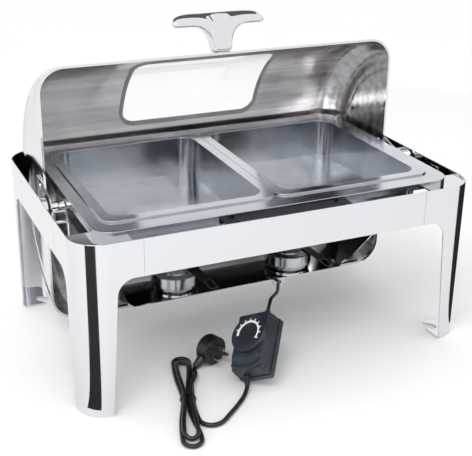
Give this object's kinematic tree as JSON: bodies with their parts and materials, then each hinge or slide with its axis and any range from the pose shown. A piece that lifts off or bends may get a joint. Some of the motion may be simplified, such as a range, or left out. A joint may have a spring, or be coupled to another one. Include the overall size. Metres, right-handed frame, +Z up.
{
  "type": "roll top chafer",
  "caption": "Roll top chafer with twin food pans over a water pan, a rolling lid with a window, burner cups on a shelf, and an electric heater with controller and plug.",
  "frame": {"origin": "on the table under the centre of the stand", "axes": "+X right along the lid's hinge line, +Y to the rear, +Z up"},
  "size_m": [0.638, 0.541, 0.5059],
  "materials": {
    "black_rubber": "matte",
    "black_strap": "black",
    "clear_window": "clear",
    "controller_plastic": "fine grain",
    "cord_black": "smooth",
    "grey_gasket": "translucent silicone",
    "heater_aluminium": "cast",
    "inner_plastic": "plain",
    "lid_steel": "polished outside, satin inside",
    "pan_steel": "satin",
    "plated_steel": "plated",
    "polished_steel": "mirror polished"
  },
  "bodies": {
    "stand": {"leg_front_left": "polished_steel", "leg_front_right": "polished_steel", "leg_rear_left": "polished_steel", "leg_rear_right": "polished_steel", "front_panel": "polished_steel", "rear_panel": "polished_steel", "left_panel": "polished_steel", "right_panel": "polished_steel", "seam_straps": "polished_steel", "foot_plates": "polished_steel", "corner_tabs": "polished_steel", "rest_ledge": "black_strap", "ledge_bumpers": "black_rubber", "hinge_pins": "polished_steel", "hinge_bosses": "polished_steel", "hinge_washers": "black_rubber", "hinge_spacers": "polished_steel", "hinge_nuts": "plated_steel", "open_stops": "polished_steel", "burner_carrier": "polished_steel", "water_pan": "pan_steel", "heater_plate": "heater_aluminium", "heating_element": "polished_steel", "heater_clamps": "polished_steel", "terminal_cover": "inner_plastic", "lead_gland": "cord_black", "lead_clip": "polished_steel", "heater_lead": "cord_black", "controller_back": "controller_plastic", "controller_front": "controller_plastic", "controller_screws": "plated_steel", "thermostat": "inner_plastic", "controller_lead_gland": "cord_black", "controller_cord_gland": "cord_black", "supply_cord": "cord_black", "cord_hank": "cord_black", "cable_tie": "cord_black", "plug_body": "cord_black", "plug_pins": "plated_steel", "plug_cord": "cord_black"},
    "lid": {"lid_shell": "lid_steel", "lid_rim": "lid_steel", "lid_window": "clear_window", "window_gasket": "grey_gasket", "lid_ear_left": "lid_steel", "lid_ear_right": "lid_steel", "ear_rivets": "polished_steel", "lid_handle": "polished_steel", "handle_screws": "polished_steel"},
    "left_pan": {"food_pan_left": "pan_steel"},
    "right_pan": {"food_pan_right": "pan_steel"},
    "left_burner": {"burner_cup_left": "pan_steel", "damper_rivet_left": "polished_steel"},
    "right_burner": {"burner_cup_right": "pan_steel", "damper_rivet_right": "polished_steel"},
    "left_damper": {"damper_left": "polished_steel", "damper_handle_left": "black_strap"},
    "right_damper": {"damper_right": "polished_steel", "damper_handle_right": "black_strap"},
    "dial": {"dial_knob": "controller_plastic"}
  },
  "joints": [
    {"name": "lid_roll", "type": "hinge", "parent": "stand", "child": "lid", "pos_m": [0, 0, 0.241], "axis": [1, 0, 0], "range_deg": [0, 90]},
    {"name": "left_pan_lift", "type": "slide", "parent": "stand", "child": "left_pan", "axis": [0, 0, 1], "range_m": [0, 0.055]},
    {"name": "right_pan_lift", "type": "slide", "parent": "stand", "child": "right_pan", "axis": [0, 0, 1], "range_m": [0, 0.055]},
    {"name": "left_cup_lift", "type": "slide", "parent": "stand", "child": "left_burner", "axis": [0, 0, 1], "range_m": [0, 0.035]},
    {"name": "right_cup_lift", "type": "slide", "parent": "stand", "child": "right_burner", "axis": [0, 0, 1], "range_m": [0, 0.035]},
    {"name": "left_damper_swing", "type": "hinge", "parent": "left_burner", "child": "left_damper", "pos_m": [-0.076, 0.003, 0.1052], "axis": [0, 0, 1], "range_deg": [-60, 0]},
    {"name": "right_damper_swing", "type": "hinge", "parent": "right_burner", "child": "right_damper", "pos_m": [0.13, 0.003, 0.1052], "axis": [0, 0, 1], "range_deg": [-60, 0]},
    {"name": "dial_turn", "type": "hinge", "parent": "stand", "child": "dial", "pos_m": [-0.05546, -0.18694, 0.07065], "axis": [-0.675, -0.0595, 0.7354], "range_deg": [-240, 30]}
  ]
}
